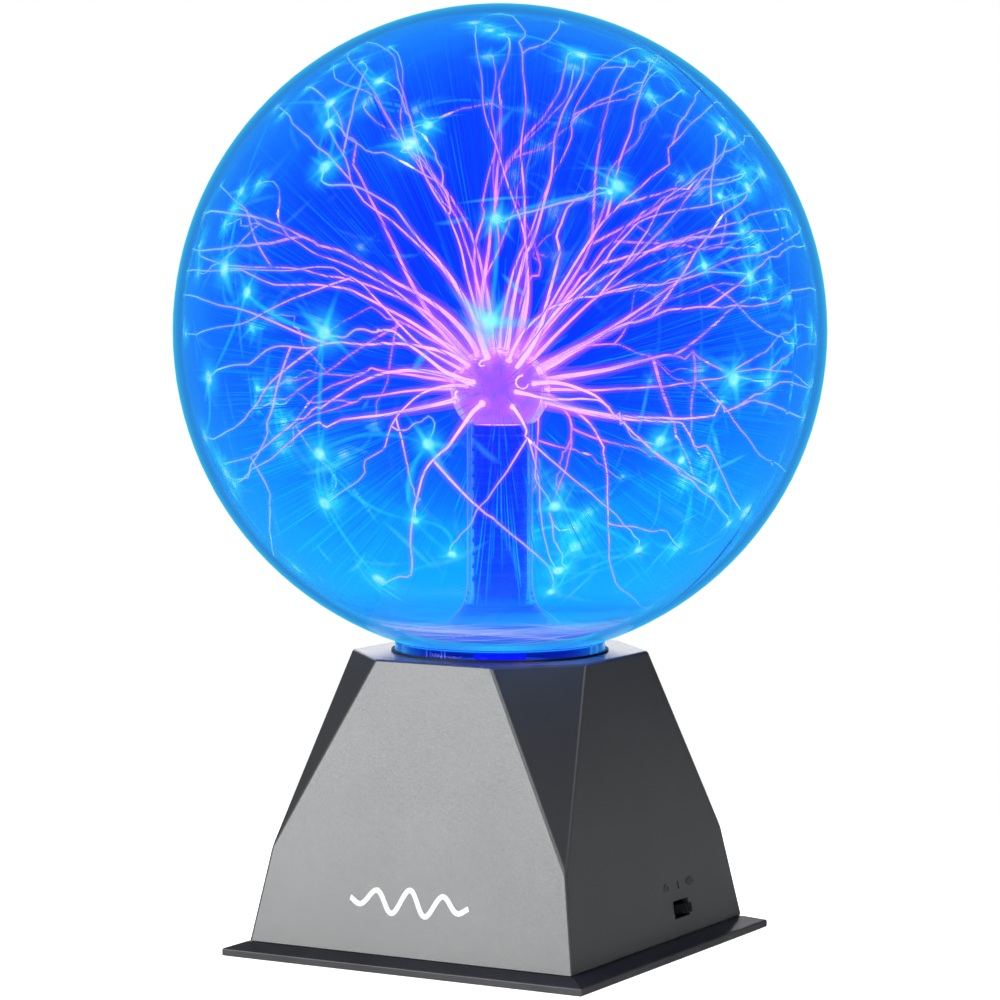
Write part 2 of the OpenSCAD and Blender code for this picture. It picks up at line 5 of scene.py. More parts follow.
import bpy
import numpy as np
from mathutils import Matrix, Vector

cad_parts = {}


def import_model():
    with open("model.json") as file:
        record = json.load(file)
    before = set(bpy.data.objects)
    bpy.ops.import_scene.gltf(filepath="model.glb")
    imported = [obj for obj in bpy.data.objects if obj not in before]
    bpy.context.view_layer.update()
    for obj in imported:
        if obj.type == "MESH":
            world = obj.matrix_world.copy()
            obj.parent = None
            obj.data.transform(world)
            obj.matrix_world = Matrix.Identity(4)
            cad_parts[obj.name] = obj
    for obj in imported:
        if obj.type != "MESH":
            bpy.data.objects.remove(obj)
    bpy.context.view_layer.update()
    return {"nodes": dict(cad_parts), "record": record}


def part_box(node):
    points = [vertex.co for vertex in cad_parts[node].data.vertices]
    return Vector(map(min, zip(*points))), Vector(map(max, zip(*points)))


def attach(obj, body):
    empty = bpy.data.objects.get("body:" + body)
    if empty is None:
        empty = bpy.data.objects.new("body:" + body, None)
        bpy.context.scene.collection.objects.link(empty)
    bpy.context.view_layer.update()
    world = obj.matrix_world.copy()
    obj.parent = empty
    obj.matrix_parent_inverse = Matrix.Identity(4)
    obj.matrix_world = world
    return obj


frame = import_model()

SEED = 20
UP = np.array([0.0, 0.0, 1.0])

# The photograph's viewing angle, in degrees from the front and above the level
VIEW_AZIMUTH = 29.5
VIEW_ELEVATION = 4.26

# ---- Places and sizes, in metres: from the CAD nodes, or as the part's source has them ----

globe_low, globe_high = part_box("globe")
globe_r = globe_high.x
globe_wall = 0.002
globe_in = globe_r - globe_wall
globe_mid = np.array([0.0, 0.0, globe_high.z - globe_r])

stem_low, stem_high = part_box("stem_tube")
neck_in = stem_high.x
flare_low = stem_low.z
stem_r = 0.01015
stem_wall = 0.0013

bulb_r = 0.015
bulb_mid = np.array([0.0, 0.0, 0.173])
bulb_rise = stem_high.z - bulb_mid[2]

housing_low, housing_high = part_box("housing")

# How far inside the glass the lights drawn near it lie
CONTACT_GAP = 0.0006
STROKE_GAP = 0.0009
SWIRL_GAP = 0.0011
WALL_GAP = 0.00012

# How near to the Z axis a turned outline comes
AXIS_GAP = 0.00002

# No filament or stroke comes nearer to the neck than these heights, as shares of the radius
LOWEST_CONTACT = -0.80
LOWEST_BRANCH = -0.86
LOWEST_STROKE = -0.90

# The longest stroke that links two contacts, in metres
LONGEST_LINK = 0.036


def housing_top_half():
    """Half the width of the housing's flat top, across its sides."""
    heights = [v.co.z for v in frame["nodes"]["housing"].data.vertices]
    rim = max(heights) - 0.0001
    return max(v.co.y for v in frame["nodes"]["housing"].data.vertices if v.co.z > rim)


# ---- Small vector helpers ----

def unit(v):
    """v made one long."""
    return v / np.linalg.norm(v)


def turned(azimuth, elevation):
    """The direction at an azimuth from the front and an elevation, in degrees."""
    a = math.radians(azimuth)
    e = math.radians(elevation)
    return np.array([math.sin(a) * math.cos(e), -math.cos(a) * math.cos(e), math.sin(e)])


def spiral(count):
    """Directions spread evenly over a sphere, from its top to its bottom."""
    golden = math.pi * (3 - math.sqrt(5))
    out = []
    for k in range(count):
        z = 1 - 2 * (k + 0.5) / count
        r = math.sqrt(1 - z * z)
        out.append(np.array([r * math.cos(golden * k), r * math.sin(golden * k), z]))
    return out


def across(v):
    """Two directions square to v and to each other."""
    other = np.array([1.0, 0.0, 0.0]) if abs(v[0]) < 0.7 else np.array([0.0, 1.0, 0.0])
    side = unit(np.cross(v, other))
    return side, np.cross(v, side)


def ramp(stops, t):
    """The value at t of a list of (place, values) stops."""
    places = [s[0] for s in stops]
    values = np.array([s[1] for s in stops], float)
    return np.array([np.interp(t, places, values[:, k]) for k in range(values.shape[1])])


# ---- Meshes built in code ----

class Form:
    """Collects vertices, faces and a colour for each vertex, then makes one mesh piece."""

    def __init__(self):
        self.vertices = []
        self.faces = []
        self.colours = []

    def grid(self, rows, colours, closed=False, capped=False):
        """Adds rows of points joined into a sheet, or into a tube where closed is true."""
        start = len(self.vertices)
        count = len(rows[0])
        for row, shades in zip(rows, colours):
            self.vertices.extend(tuple(p) for p in row)
            self.colours.extend(tuple(c) for c in shades)
        steps = count if closed else count - 1
        for i in range(len(rows) - 1):
            for k in range(steps):
                a = start + i * count + k
                b = start + i * count + (k + 1) % count
                self.faces.append((a, b, b + count, a + count))
        if capped:
            self.faces.append(tuple(start + k for k in reversed(range(count))))
            last = start + (len(rows) - 1) * count
            self.faces.append(tuple(last + k for k in range(count)))

    def tube(self, path, radii, shades, sides=6):
        """Adds a round tapering tube along a path."""
        headings = np.gradient(path, axis=0)
        rows = []
        side = across(unit(headings[0]))[0]
        for point, heading, r in zip(path, headings, radii):
            heading = unit(heading)
            side = unit(side - heading * np.dot(side, heading))
            other = np.cross(heading, side)
            turns = [2 * math.pi * k / sides for k in range(sides)]
            rows.append([point + r * (math.cos(a) * side + math.sin(a) * other) for a in turns])
        self.grid(rows, [[s] * sides for s in shades], closed=True, capped=True)

    def brush(self, path, widths, shades, lift):
        """Adds a soft flat stroke that hugs the globe, clear at its edges."""
        profile = [(-1.0, 0.0), (-0.45, 0.6), (0.0, 1.0), (0.45, 0.6), (1.0, 0.0)]
        headings = np.gradient(path, axis=0)
        rows = []
        colours = []
        for point, heading, width, shade in zip(path, headings, widths, shades):
            normal = unit(point - globe_mid)
            side = unit(np.cross(heading, normal))
            row = [globe_mid + lift * unit(point + side * width * x - globe_mid)
                   for x, share in profile]
            rows.append(row)
            colours.append([(*shade[:3], shade[3] * share) for x, share in profile])
        self.grid(rows, colours)

    def piece(self, name, material, slot, smooth=True):
        """Makes the mesh object and fixes it to the base body."""
        mesh = bpy.data.meshes.new(name)
        mesh.from_pydata(self.vertices, [], self.faces)
        glow = mesh.color_attributes.new("glow", "FLOAT_COLOR", "POINT")
        glow.data.foreach_set("color", np.array(self.colours, np.float32).ravel())
        mesh.polygons.foreach_set("use_smooth", [smooth] * len(self.faces))
        mesh.materials.append(material)
        mesh.update()
        obj = bpy.data.objects.new(name, mesh)
        bpy.context.scene.collection.objects.link(obj)
        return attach(obj, "base")


def lathe(profile, turns=96, shade=(1, 1, 1, 1)):
    """Rows of points, and shades, for an outline of (radius, height) turned about Z."""
    rows = []
    for r, z in profile:
        angles = [2 * math.pi * k / turns for k in range(turns)]
        rows.append([(r * math.cos(a), r * math.sin(a), z) for a in angles])
    return rows, [[shade] * turns for row in rows]


# ---- Materials ----

class Shader:
    """A node material that is put together one node at a time."""

    def __init__(self, name):
        self.material = bpy.data.materials.new(name)
        self.material.use_nodes = True
        self.tree = self.material.node_tree
        self.tree.nodes.clear()
        self.output = self.add("OutputMaterial")

    def add(self, kind, inputs=None, **settings):
        """Adds a node, sets its settings, and sets or links its inputs by name or number."""
        node = self.tree.nodes.new("ShaderNode" + kind)
        for key, value in settings.items():
            setattr(node, key, value)
        for key, value in (inputs or {}).items():
            if isinstance(value, bpy.types.NodeSocket):
                self.tree.links.new(value, node.inputs[key])
            else:
                node.inputs[key].default_value = value
        return node

    def place(self):
        """A point's place on the object itself."""
        return self.add("TexCoord").outputs["Object"]

    def noise(self, scale, detail=3.0, roughness=0.5, vector=None):
        """Soft random variation, from 0 to 1."""
        return self.add("TexNoise", {
            "Vector": vector or self.place(), "Scale": scale, "Detail": detail,
            "Roughness": roughness,
        }).outputs["Fac"]

    def fit(self, value, low, high, from_low=0.3, from_high=0.7):
        """Maps a value that runs from from_low to from_high onto low to high."""
        return self.add("MapRange", {
            "Value": value, "From Min": from_low, "From Max": from_high,
            "To Min": low, "To Max": high,
        }).outputs["Result"]

    def blend(self, factor, first, second):
        """Mixes two colours, each given as numbers or as a socket."""
        node = self.add("Mix", data_type="RGBA")
        colour_inputs = [i for i in node.inputs if i.type == "RGBA"]
        for place, colour in zip(colour_inputs, (first, second)):
            if isinstance(colour, bpy.types.NodeSocket):
                self.tree.links.new(colour, place)
            else:
                place.default_value = (*colour, 1.0)
        self.tree.links.new(factor, node.inputs["Factor"])
        return [o for o in node.outputs if o.type == "RGBA"][0]

    def bump(self, height, strength, distance):
        """A normal that follows a height."""
        return self.add("Bump", {
            "Height": height, "Strength": strength, "Distance": distance,
        }).outputs["Normal"]

    def share(self, first, second):
        """The product of two numbers."""
        node = self.add("Math", {0: first, 1: second}, operation="MULTIPLY")
        return node.outputs["Value"]

    def front(self):
        """1 on a face that looks at the ray, 0 on one seen from behind."""
        behind = self.add("NewGeometry").outputs["Backfacing"]
        return self.fit(behind, 1.0, 0.0, 0.0, 1.0)

    def veil(self, share, emission):
        """A see-through surface that glows where share is 1."""
        clear = self.add("BsdfTransparent")
        mix = self.add("MixShader", {
            0: share, 1: clear.outputs["BSDF"], 2: emission.outputs["Emission"],
        })
        return self.surface(mix.outputs["Shader"])

    def surface(self, socket):
        self.tree.links.new(socket, self.output.inputs["Surface"])
        return self.material

    def volume(self, socket):
        self.tree.links.new(socket, self.output.inputs["Volume"])
        return self.material


def unlit(material):
    """Keeps a glowing material from being sampled as a lamp, which only adds noise."""
    material.cycles.emission_sampling = "NONE"
    return material


def glow_material(name, strength, near_only=False):
    """A glow whose colour and density are painted on the mesh, clear where density is 0."""
    s = Shader(name)
    paint = s.add("VertexColor", layer_name="glow")
    flicker = s.fit(s.noise(260.0, 2.0), 0.88, 1.10)
    tint = s.add("VectorMath", {0: paint.outputs["Color"], 1: flicker}, operation="MULTIPLY")
    glow = s.add("Emission", {"Color": tint.outputs["Vector"], "Strength": strength})
    density = paint.outputs["Alpha"]
    if near_only:
        density = s.share(density, s.front())
    return unlit(s.veil(density, glow))


def gas_volume(name, colour, strength, soak=None, density=0.0):
    """Evenly glowing gas with clear sides. soak is the colour that it lets through."""
    s = Shader(name)
    clear = s.add("BsdfTransparent")
    s.surface(clear.outputs["BSDF"])
    glow = s.add("Emission", {"Color": (*colour, 1.0), "Strength": strength})
    if soak is None:
        return unlit(s.volume(glow.outputs["Emission"]))
    absorb = s.add("VolumeAbsorption", {"Color": (*soak, 1.0), "Density": density})
    both = s.add("AddShader", {0: absorb.outputs["Volume"], 1: glow.outputs["Emission"]})
    return unlit(s.volume(both.outputs["Shader"]))


def backdrop_material():
    """The far side of the gas, seen from inside: deep blue, cloudy, and pale towards the neck."""
    s = Shader("gas_backdrop")
    place = s.place()
    cloud = s.noise(26.0, 4.0, 0.6, place)
    blue = s.blend(s.fit(cloud, 0.0, 1.0, 0.35, 0.7), (0.0, 0.055, 0.84), (0.001, 0.115, 1.0))
    height = s.add("SeparateXYZ", {"Vector": place}).outputs["Z"]
    low = s.fit(height, 1.0, 0.0, globe_mid[2] - 0.092, globe_mid[2] - 0.020)
    wash = s.blend(low, blue, (0.002, 0.400, 1.0))
    glow = s.add("Emission", {"Color": wash, "Strength": 1.0})
    return unlit(s.veil(s.add("NewGeometry").outputs["Backfacing"], glow))


def glass(name, tint, ior, wave_scale, wave_depth, painted_wall_glow, strength, gloss, painted_reflection_ior):
    """Clear blown glass with the slight waves of its making.

    The wall glow given to it is a glow painted into the glass, and gloss is a painted reflection:
    an emission of the gas light, added at a glancing angle.
    """
    s = Shader(name)
    waves = s.noise(wave_scale, 2.0)
    body = s.add("BsdfPrincipled", {
        "Base Color": (*tint, 1.0), "Roughness": 0.0, "IOR": ior,
        "Transmission Weight": 1.0, "Normal": s.bump(waves, 0.2, wave_depth),
    })
    # Painted glow: the glass wall itself gives light
    glow = s.add("Emission", {"Color": (*painted_wall_glow, 1.0), "Strength": strength})
    s.volume(glow.outputs["Emission"])
    # Painted reflection of the gas light: an emission that grows at a glancing angle on the near
    # side
    painted_reflection = s.add("Emission", {"Color": (*gloss, 1.0), "Strength": 1.0})
    glance = s.fit(s.add("Fresnel", {"IOR": painted_reflection_ior}).outputs["Fac"], 0.0, 1.0, 0.06, 0.85)
    mix = s.add("MixShader", {
        0: s.share(glance, s.front()), 1: body.outputs["BSDF"], 2: painted_reflection.outputs["Emission"],
    })
    return unlit(s.surface(mix.outputs["Shader"]))


def moulded(name, dark, light, rough, metallic=0.0, grain=2600.0, depth=0.00003):
    """Moulded plastic or rubber: fine pitted grain, soft blotches and uneven gloss."""
    s = Shader(name)
    place = s.place()
    blotch = s.noise(38.0, 3.0, 0.5, place)
    pits = s.noise(grain, 2.0, 0.6, place)
    body = s.add("BsdfPrincipled", {
        "Base Color": s.blend(s.fit(blotch, 0.0, 1.0), dark, light),
        "Roughness": s.fit(pits, rough - 0.05, rough + 0.07),
        "Metallic": metallic,
        "Normal": s.bump(pits, 0.35, depth),
    })
    return s.surface(body.outputs["BSDF"])


def metal(name, colour, rough, stretch=(1.0, 1.0, 12.0)):
    """Drawn or stamped metal with faint lines along one way."""
    s = Shader(name)
    lines = s.add("Mapping", {"Vector": s.place(), "Scale": stretch}).outputs["Vector"]
    marks = s.noise(900.0, 3.0, 0.6, lines)
    dull = tuple(0.72 * c for c in colour)
    body = s.add("BsdfPrincipled", {
        "Base Color": s.blend(s.fit(marks, 0.0, 1.0), dull, colour),
        "Roughness": s.fit(marks, rough - 0.06, rough + 0.12),
        "Metallic": 1.0,
        "Normal": s.bump(marks, 0.2, 0.00002),
    })
    return s.surface(body.outputs["BSDF"])


def banded(name, dark, light, pitch, rough, axis="Z", metallic=0.0):
    """Something wound or printed in even bands, such as wire on a bobbin."""
    s = Shader(name)
    bands = s.add("TexWave", {
        "Vector": s.place(), "Scale": 0.314 / pitch, "Distortion": 0.4, "Detail": 1.0,
    }, bands_direction=axis).outputs["Fac"]
    body = s.add("BsdfPrincipled", {
        "Base Color": s.blend(bands, dark, light),
        "Roughness": s.fit(bands, rough + 0.1, rough, 0.0, 1.0),
        "Metallic": metallic,
        "Normal": s.bump(bands, 0.5, 0.0001),
    })
    return s.surface(body.outputs["BSDF"])


def electrode_material():
    """The electrode's coating, with a purple glow painted on it for the gas light that falls on it,
    and brighter painted patches in a mottle.
    """
    s = Shader("bulb_coating")
    place = s.place()
    patches = s.noise(170.0, 4.0, 0.6, place)
    painted_patch_mask = s.noise(420.0, 3.0, 0.7, place)
    # The emission colours below are painted light, not the coating's own colour
    base = s.blend(s.fit(patches, 0.0, 1.0, 0.4, 0.65), (0.20, 0.0, 0.62), (0.52, 0.004, 0.76))
    painted_patch_colour = s.blend(s.fit(painted_patch_mask, 0.0, 1.0, 0.60, 0.85), base, (0.90, 0.14, 0.92))
    body = s.add("BsdfPrincipled", {
        "Base Color": (0.03, 0.02, 0.05, 1.0), "Roughness": 0.45,
        "Emission Color": painted_patch_colour, "Emission Strength": 0.8,
    })
    return unlit(s.surface(body.outputs["BSDF"]))


def sleeve_material(name):
    """Pale insulation, drawn dark with a deep blue glow painted on it for the light of the gas."""
    s = Shader(name)
    grain = s.noise(300.0, 3.0)
    # Painted glow of the gas light on the sleeve
    blue = s.blend(s.fit(grain, 0.0, 1.0), (0.0, 0.001, 0.80), (0.004, 0.006, 0.92))
    body = s.add("BsdfPrincipled", {
        "Base Color": (0.02, 0.02, 0.10, 1.0), "Roughness": 0.4,
        "Emission Color": blue, "Emission Strength": 0.9,
    })
    return unlit(s.surface(body.outputs["BSDF"]))


# Each of the record's material slots, with what it is made of
FINISHES = {
    # In each glass the colour after the wave depth is a painted glow in the wall, and the last
    # colour is a painted reflection
    "globe_glass": lambda n: glass(n, (0.97, 0.99, 1.0), 1.47, 45.0, 0.0002,
                                   (0.0, 0.020, 0.90), 90.0, (0.05, 0.60, 1.0), 1.6),
    "stem_glass": lambda n: glass(n, (0.95, 0.97, 1.0), 1.47, 90.0, 0.0001,
                                  (0.02, 0.06, 1.0), 14.0, (0.25, 0.60, 1.0), 1.45),
    "bulb_coating": lambda n: electrode_material(),
    "sleeve_polymer": lambda n: sleeve_material(n),
    "silicone": lambda n: sleeve_material(n),
    "black_rubber": lambda n: moulded(n, (0.010, 0.010, 0.012), (0.022, 0.022, 0.025), 0.62),
    "housing_plastic": lambda n: moulded(n, (0.128, 0.132, 0.132), (0.138, 0.142, 0.142), 0.33,
                                         0.55),
    "base_plastic": lambda n: moulded(n, (0.056, 0.056, 0.060), (0.080, 0.080, 0.085), 0.34, 0.3),
    "collar_plastic": lambda n: moulded(n, (0.02, 0.02, 0.02), (0.035, 0.035, 0.035), 0.5),
    "adhesive": lambda n: moulded(n, (0.55, 0.52, 0.42), (0.68, 0.64, 0.52), 0.45, 0.0, 700.0),
    "steel": lambda n: metal(n, (0.60, 0.60, 0.62), 0.30),
    "spring_steel": lambda n: metal(n, (0.55, 0.55, 0.57), 0.25),
    "brass": lambda n: metal(n, (0.78, 0.62, 0.33), 0.28),
    "aluminium": lambda n: metal(n, (0.74, 0.75, 0.76), 0.38, (12.0, 1.0, 1.0)),
    "label_film": lambda n: banded(n, (0.62, 0.62, 0.60), (0.72, 0.72, 0.70), 0.004, 0.35, "Y"),
    "board_laminate": lambda n: moulded(n, (0.012, 0.09, 0.035), (0.02, 0.14, 0.055), 0.35, 0.0,
                                        1200.0),
    "ferrite": lambda n: moulded(n, (0.03, 0.03, 0.033), (0.05, 0.05, 0.053), 0.6, 0.1, 1400.0),
    "bobbin_plastic": lambda n: moulded(n, (0.015, 0.02, 0.028), (0.025, 0.03, 0.04), 0.42),
    "copper_winding": lambda n: banded(n, (0.30, 0.12, 0.04), (0.75, 0.36, 0.14), 0.0006, 0.3,
                                       "Z", 0.8),
    "black_epoxy": lambda n: moulded(n, (0.014, 0.014, 0.015), (0.026, 0.026, 0.028), 0.55),
    "capacitor_sleeve": lambda n: banded(n, (0.01, 0.015, 0.07), (0.015, 0.025, 0.11), 0.005,
                                         0.3, "X"),
    "film_capacitor": lambda n: moulded(n, (0.42, 0.10, 0.03), (0.55, 0.15, 0.04), 0.35),
    "resistor_body": lambda n: banded(n, (0.25, 0.10, 0.03), (0.62, 0.48, 0.28), 0.0022, 0.45,
                                      "Y"),
    "plug_nylon": lambda n: moulded(n, (0.70, 0.69, 0.64), (0.80, 0.79, 0.75), 0.45),
    "knob_plastic": lambda n: moulded(n, (0.008, 0.008, 0.009), (0.016, 0.016, 0.018), 0.38),
    "phenolic": lambda n: moulded(n, (0.16, 0.07, 0.03), (0.24, 0.11, 0.05), 0.5),
    "red_insulation": lambda n: moulded(n, (0.36, 0.012, 0.012), (0.52, 0.02, 0.018), 0.4),
    "orange_insulation": lambda n: moulded(n, (0.55, 0.16, 0.02), (0.70, 0.22, 0.03), 0.4),
}


def dress_cad():
    """Gives every CAD node the finish of its slot in the record."""
    made = {slot: make(slot) for slot, make in FINISHES.items()}
    for part in frame["record"]["subparts"]:
        for slot in frame["nodes"][part["node"]].material_slots:
            slot.material = made[part["material_slot"]]


# ---- Rounded edges on the housing and base ----

def edge_picker(shortest):
    """A geometry-nodes group that marks only a mesh's long edges for the bevel."""
    tree = bpy.data.node_groups.new("long_edges", "GeometryNodeTree")
    tree.interface.new_socket("Geometry", in_out="INPUT", socket_type="NodeSocketGeometry")
    tree.interface.new_socket("Geometry", in_out="OUTPUT", socket_type="NodeSocketGeometry")
    start = tree.nodes.new("NodeGroupInput")
    end = tree.nodes.new("NodeGroupOutput")
    ends = tree.nodes.new("GeometryNodeInputMeshEdgeVertices")
    span = tree.nodes.new("ShaderNodeVectorMath")
    span.operation = "DISTANCE"
    longer = tree.nodes.new("FunctionNodeCompare")
    longer.data_type = "FLOAT"
    longer.operation = "GREATER_THAN"
    longer.inputs["B"].default_value = shortest
    angle = tree.nodes.new("GeometryNodeInputMeshEdgeAngle")
    bent = tree.nodes.new("FunctionNodeCompare")
    bent.data_type = "FLOAT"
    bent.operation = "GREATER_THAN"
    bent.inputs["B"].default_value = math.radians(15)
    both = tree.nodes.new("FunctionNodeBooleanMath")
    both.operation = "AND"
    store = tree.nodes.new("GeometryNodeStoreNamedAttribute")
    store.data_type = "FLOAT"
    store.domain = "EDGE"
    store.inputs["Name"].default_value = "bevel_weight_edge"
    link = tree.links.new
    link(ends.outputs["Position 1"], span.inputs[0])
    link(ends.outputs["Position 2"], span.inputs[1])
    link(span.outputs["Value"], longer.inputs["A"])
    link(angle.outputs["Unsigned Angle"], bent.inputs["A"])
    link(longer.outputs["Result"], both.inputs[0])
    link(bent.outputs["Result"], both.inputs[1])
    link(both.outputs["Boolean"], store.inputs["Value"])
    link(start.outputs["Geometry"], store.inputs["Geometry"])
    link(store.outputs["Geometry"], end.inputs["Geometry"])
    return tree


def round_edges(node, picker, width):
    """Rounds a CAD node's long edges as its mould does."""
    obj = frame["nodes"][node]
    weld = obj.modifiers.new("weld", "WELD")
    weld.merge_threshold = 0.00001
    pick = obj.modifiers.new("pick", "NODES")
    pick.node_group = picker
    bevel = obj.modifiers.new("bevel", "BEVEL")
    bevel.limit_method = "WEIGHT"
    bevel.width = width
    bevel.segments = 3
    bevel.use_clamp_overlap = False
    bevel.harden_normals = True


# ---- The plasma ----

# Colours are linear red, green, blue and density, by share of a filament's length
FILAMENT = [
    (0.00, (1.00, 0.98, 1.00, 1.00)),
    (0.16, (1.00, 0.86, 0.98, 1.00)),
    (0.38, (1.00, 0.66, 0.90, 0.88)),
    (0.72, (0.74, 0.42, 0.86, 0.46)),
    (0.92, (0.50, 0.48, 0.95, 0.34)),
    (1.00, (0.30, 0.85, 1.00, 0.90)),
]
SHEATH = [
    (0.00, (0.95, 0.34, 1.00, 0.24)),
    (0.20, (0.72, 0.16, 1.00, 0.18)),
    (0.70, (0.34, 0.10, 1.00, 0.10)),
    (1.00, (0.02, 0.45, 1.00, 0.12)),
]
STAR = [
    (0.0, (0.20, 0.95, 1.00, 0.75)),
    (0.3, (0.04, 0.78, 1.00, 0.46)),
    (1.0, (0.00, 0.42, 1.00, 0.00)),
]


def bulb_point(direction, clearance=0.0):
    """The point on the electrode bulb's outside that lies in a direction from its middle."""
    r = bulb_r + clearance
    rise = (bulb_rise if direction[2] > 0 else bulb_r) + clearance
    return bulb_mid + np.array([r * direction[0], r * direction[1], rise * direction[2]])


def wander(rng, count, share, reach):
    """Smooth sideways wandering with a few sharp bends, nothing at the start."""
    t = np.linspace(0, 1, count)
    out = np.zeros((count, 2))
    for waves, weight in ((0.6, 1.3), (1.5, 0.55), (4.3, 0.12), (9.0, 0.04)):
        for k in range(2):
            phase = rng.uniform(0, 2 * math.pi)
            out[:, k] += weight * rng.normal() * np.sin(2 * math.pi * waves * t + phase)
    corners = np.sort(rng.uniform(0.25, 1.0, 6))
    for k in range(2):
        out[:, k] += np.interp(t, corners, 0.42 * rng.normal(size=6))
    grow = np.clip((t - share) / (1 - share), 0, 1) ** 0.9
    fade = 1 - 0.6 * np.clip((t - 0.85) / 0.15, 0, 1)
    return out * reach * (grow * fade)[:, None]


def bezier(a, b, c, d, count):
    """Points of a cubic curve from a to d, drawn towards b and c."""
    t = np.linspace(0, 1, count)[:, None]
    return (1 - t) ** 3 * a + 3 * (1 - t) ** 2 * t * b + 3 * (1 - t) * t * t * c + t ** 3 * d


def keep_inside(path, lift):
    """Pulls points that stray past the glass back onto it."""
    rays = path - globe_mid
    far = np.linalg.norm(rays, axis=1)
    pull = np.minimum(1.0, lift / far)
    return globe_mid + rays * pull[:, None]


def strand(rng, start, heading, contact, count, reach, share):
    """One filament's path from start, first along heading, to its contact on the glass."""
    span = np.linalg.norm(contact - start)
    inward = unit(globe_mid - contact)
    path = bezier(start, start + heading * 0.38 * span,
                  contact + inward * 0.30 * span + UP * 0.05 * span, contact, count)
    side, other = across(unit(contact - start))
    shift = wander(rng, count, share, reach)
    path = path + shift[:, :1] * side + shift[:, 1:] * other
    path[0] = start
    path[-1] = contact
    return keep_inside(path, globe_in - CONTACT_GAP)


def contact_directions(rng):
    """Where filaments touch the glass: an even spread, shaken, with the neck left free.

    Only a third of them stand before or behind the electrode, so that it shows.
    """
    found = []
    facing = turned(VIEW_AZIMUTH, VIEW_ELEVATION)
    in_line = 0.80
    shake = 0.13
    for k, d in enumerate(spiral(66)):
        hides = abs(float(np.dot(d, facing))) > in_line
        if d[2] < LOWEST_CONTACT or (hides and k % 3):
            continue
        side, other = across(d)
        found.append(unit(d + shake * rng.normal() * side + shake * rng.normal() * other))
    return found


def root_directions():
    """Where bundles of filaments leave the electrode: mostly over its upper half."""
    lowest = -0.45
    return [d for d in spiral(34) if d[2] > lowest]


class Plasma:
    """Grows the filaments once and keeps their paths and contacts for the other pieces.

    A strand is (path, thickness, share of a whole filament at its start, and at its end).
    """

    def __init__(self, rng):
        self.rng = rng
        self.strands = []
        self.contacts = []
        self.roots = []
        for direction in contact_directions(rng):
            self.grow(direction)
        for d in spiral(30):
            loose = unit(d + 0.2 * rng.normal(size=3))
            if loose[2] > LOWEST_CONTACT:
                contact = globe_mid + loose * (globe_in - CONTACT_GAP)
                self.contacts.append((contact, rng.uniform(0.5, 1.1)))

    def grow(self, direction):
        """A filament from the electrode to the glass, with up to three branches."""
        rng = self.rng
        contact = globe_mid + direction * (globe_in - CONTACT_GAP)
        rise = 0.18 + 0.40 * max(0.0, direction[2])
        wanted = unit(unit(contact - bulb_mid) + rise * UP)
        root = max(root_directions(), key=lambda d: float(np.dot(d, wanted)))
        root = unit(root + 0.10 * rng.normal(size=3))
        start = bulb_point(root, 0.0002)
        path = strand(rng, start, root, contact, 52, 0.0040, 0.05)
        thick = rng.uniform(0.00050, 0.00100)
        self.strands.append((path, thick, 0.0, 1.0))
        self.contacts.append((contact, rng.uniform(0.7, 1.25)))
        self.roots.append((start, root))
        for k in range(rng.integers(0, 4)):
            self.branch(path, thick, direction)

    def branch(self, path, thick, direction):
        """A thinner filament that leaves another part of the way along."""
        rng = self.rng
        at = int(rng.uniform(0.38, 0.86) * len(path))
        share = at / len(path)
        side, other = across(direction)
        spread = 0.10 + 0.30 * (1 - share)
        aim = unit(direction + spread * rng.normal() * side + spread * rng.normal() * other)
        if aim[2] < LOWEST_BRANCH:
            return
        contact = globe_mid + aim * (globe_in - CONTACT_GAP)
        heading = unit(path[at] - path[at - 2] + 0.25 * unit(contact - path[at]))
        count = max(10, int(30 * (1 - share)) + 8)
        twig = strand(rng, path[at], heading, contact, count, 0.0020, 0.02)
        self.strands.append((twig, thick * (0.62 - 0.30 * share), share, 1.0))
        self.contacts.append((contact, rng.uniform(0.35, 0.9)))


def filament_pieces(plasma):
    """The bright cores of the filaments and two soft sheaths round each."""
    rng = plasma.rng
    cores = Form()
    sheaths = Form()
    for path, thick, first, last in plasma.strands:
        shares = np.linspace(first, last, len(path))
        radii = thick * (0.26 + 0.74 * np.exp(-shares / 0.26))
        if first > 0:
            radii = thick * (1.0 - 0.5 * np.linspace(0, 1, len(path)))
        cores.tube(path, radii, [ramp(FILAMENT, t) for t in shares], 6)
        for wider, density in ((1.9, 1.0), (3.4, 0.42)):
            wide = radii * wider + 0.00008 * wider
            shades = [(*ramp(SHEATH, t)[:3], density * ramp(SHEATH, t)[3]) for t in shares]
            sheaths.tube(path, wide, shades, 6)
        if rng.uniform() < 0.15:
            at = int(rng.uniform(0.25, 0.75) * len(path))
            knot = path[at - 1:at + 2]
            cores.tube(knot, [0.00020, 0.00042, 0.00020], [(1.0, 0.85, 1.0, 1.0)] * 3, 8)
    cores.piece("plasma_filaments", glow_material("plasma_core", 1.45), "globe_glass")
    sheaths.piece("plasma_sheaths", glow_material("plasma_sheath", 1.0), "globe_glass")


def dome(form, centre, reach, rings, colour, densest, power, lift):
    """A round patch of light on the glass that fades to nothing at its edge."""
    side, other = across(unit(centre - globe_mid))
    rows = []
    shades = []
    for k in range(rings + 1):
        share = k / rings
        turns = [2 * math.pi * j / 14 for j in range(14)]
        spread = max(share, 0.02) * reach
        points = [centre + spread * (math.cos(a) * side + math.sin(a) * other) for a in turns]
        rows.append([globe_mid + lift * unit(p - globe_mid) for p in points])
        shades.append([(*colour, densest * (1 - share) ** power)] * 14)
    form.grid(rows, shades, closed=True)


